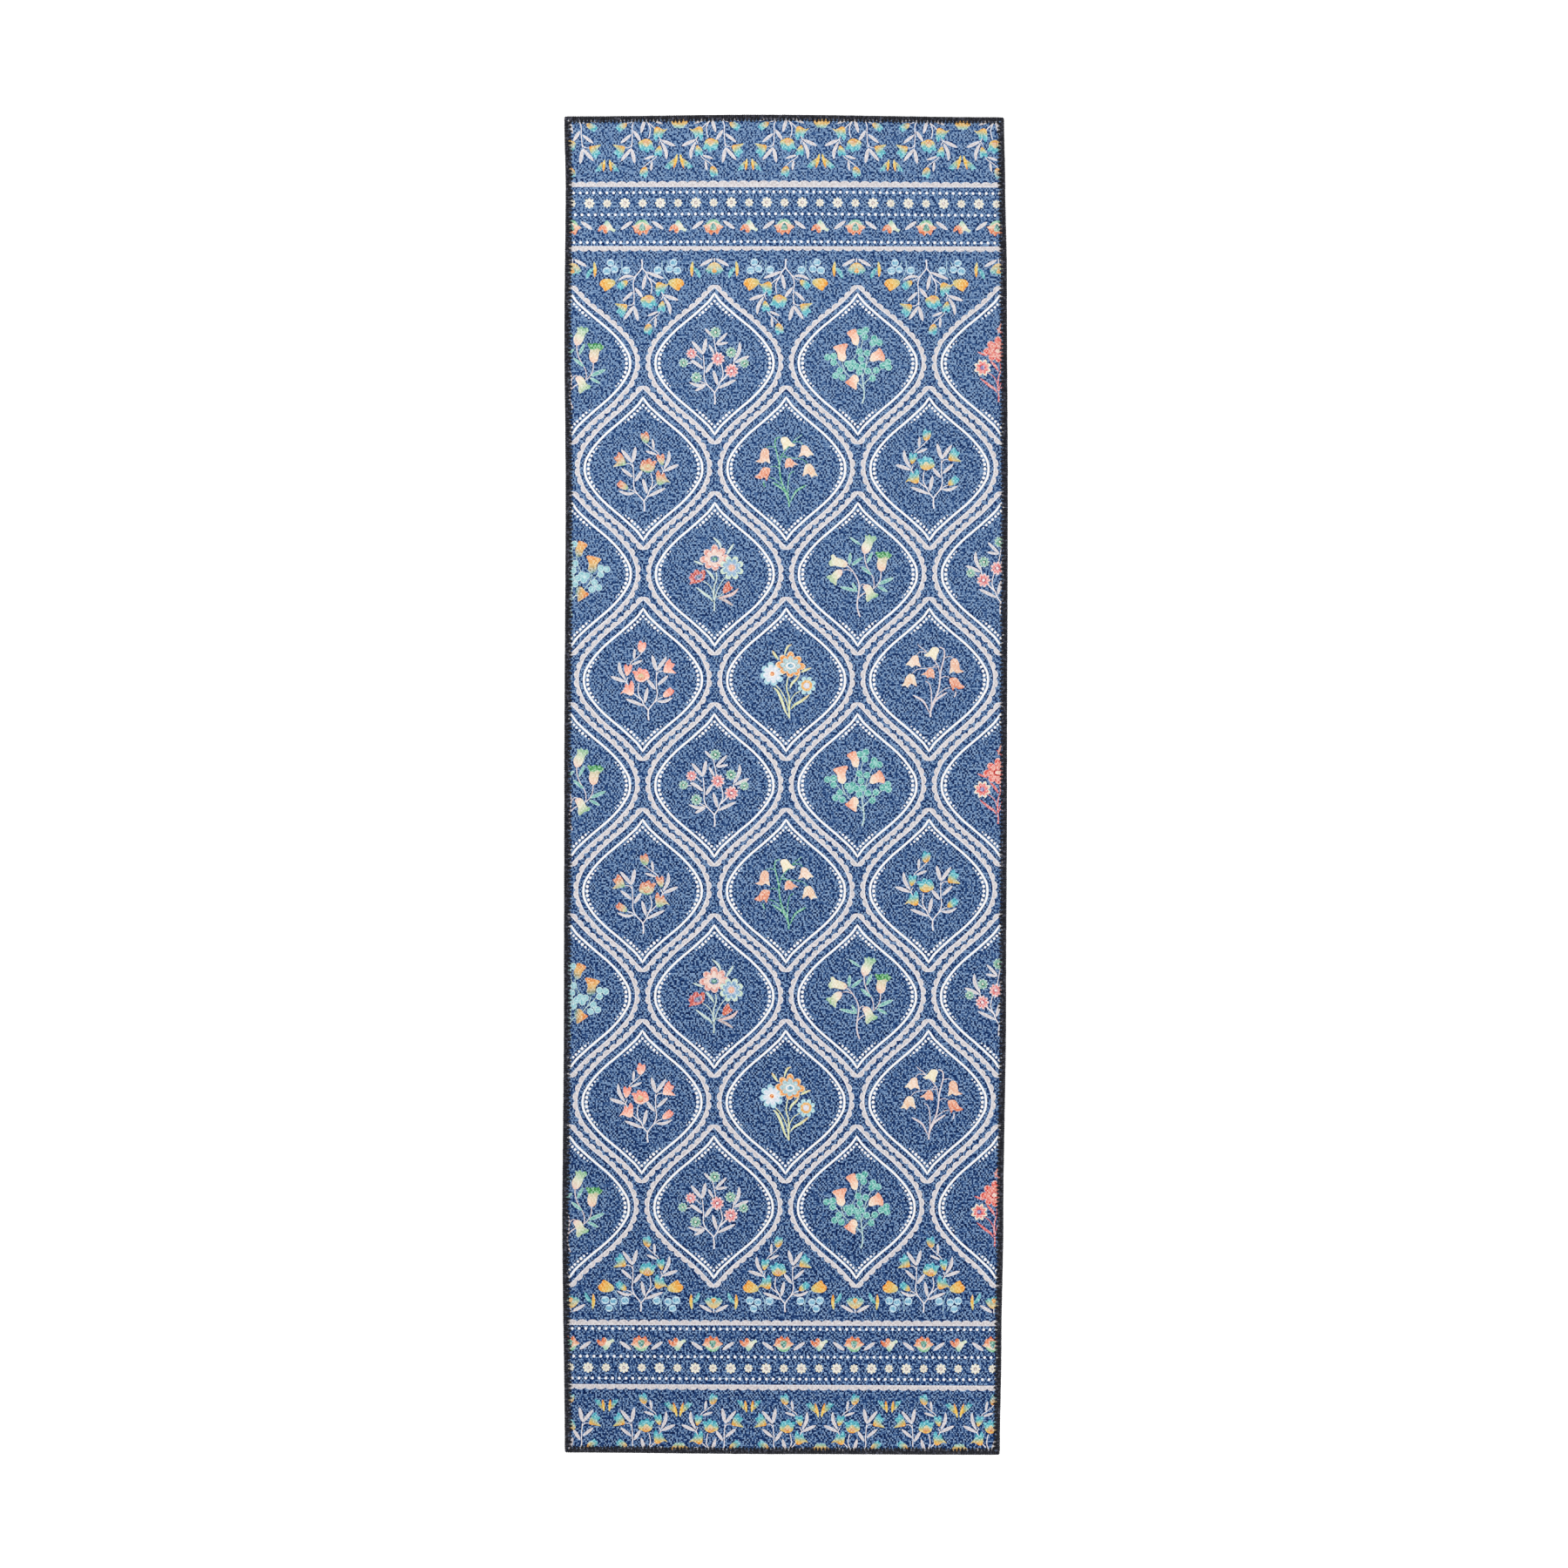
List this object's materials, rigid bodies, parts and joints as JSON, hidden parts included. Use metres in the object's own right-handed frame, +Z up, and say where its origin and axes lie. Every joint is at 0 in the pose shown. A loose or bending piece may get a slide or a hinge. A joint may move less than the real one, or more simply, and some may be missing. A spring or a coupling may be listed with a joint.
{
  "type": "runner rug",
  "caption": "Long narrow floor rug: printed woven face, felt core and grip backing in one flat stack, with an overlocked yarn edge all round.",
  "frame": {"origin": "on the floor under the middle of the rug", "axes": "+Z up from the floor, +Y along the length towards the far end, +X across the width towards the right side"},
  "size_m": [0.605, 1.829, 0.0054],
  "materials": {
    "printed_face": "printed blue chenille weave, matt",
    "felt": "grey needled felt, matt",
    "grip_rubber": "pale grip coating with raised pips, matt",
    "binding_yarn": "bulky navy overlock yarn, matt",
    "needle_thread": "spun navy sewing thread, matt"
  },
  "bodies": {
    "root": {"face_cloth": "printed_face", "felt_core": "felt", "grip_backing": "grip_rubber", "near_end_upper_looper": "binding_yarn", "near_end_lower_looper": "binding_yarn", "near_end_needle_thread": "needle_thread", "right_side_upper_looper": "binding_yarn", "right_side_lower_looper": "binding_yarn", "right_side_needle_thread": "needle_thread", "far_end_upper_looper": "binding_yarn", "far_end_lower_looper": "binding_yarn", "far_end_needle_thread": "needle_thread", "left_side_upper_looper": "binding_yarn", "left_side_lower_looper": "binding_yarn", "left_side_needle_thread": "needle_thread"}
  },
  "joints": []
}
